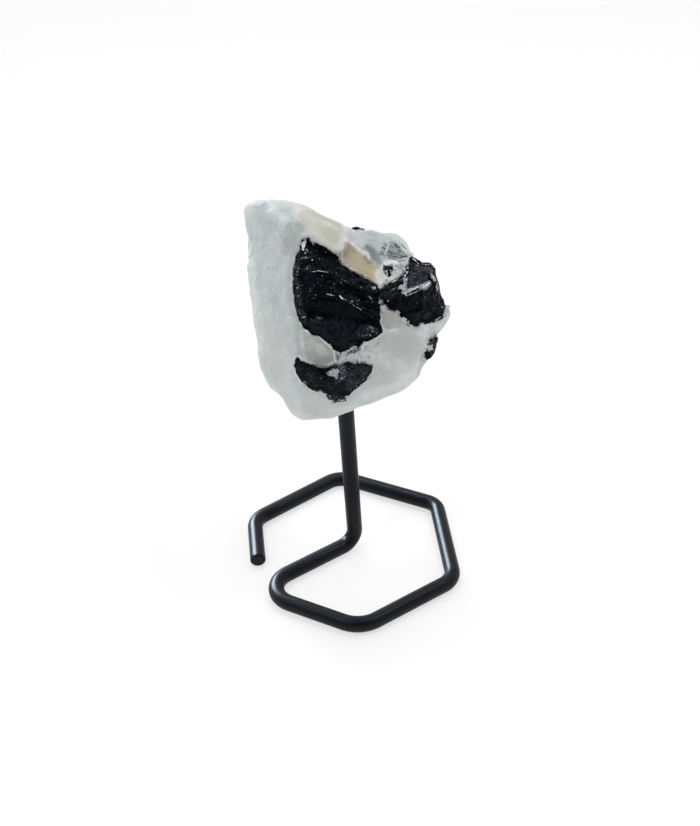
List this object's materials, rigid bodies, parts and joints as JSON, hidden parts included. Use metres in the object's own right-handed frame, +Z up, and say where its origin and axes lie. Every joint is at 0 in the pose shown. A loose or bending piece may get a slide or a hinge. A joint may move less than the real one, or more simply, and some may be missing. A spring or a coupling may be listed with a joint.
{
  "type": "tourmalinated quartz on a wire stand",
  "caption": "Rough lump of milky quartz with black tourmaline crystals, held upright on a black stand bent from one rod into an open hexagon with a post.",
  "frame": {"origin": "on the table under the middle of the stand's hexagon", "axes": "+Z up, -Y towards the front of the stone, +X to the right seen from the front"},
  "size_m": [0.0538, 0.0602, 0.0924],
  "materials": {
    "black_powder_coat": "satin black powder coat on a steel rod",
    "milky_quartz": "frosted, milky and slightly see-through, with cream and brown stains",
    "black_tourmaline": "glossy black, chipped and ribbed"
  },
  "bodies": {
    "root": {"wire_stand": "black_powder_coat", "quartz": "milky_quartz", "tourmaline_main": "black_tourmaline", "tourmaline_right": "black_tourmaline", "tourmaline_lower": "black_tourmaline", "tourmaline_chip": "black_tourmaline", "tourmaline_top": "black_tourmaline", "tourmaline_side": "black_tourmaline"}
  },
  "joints": []
}
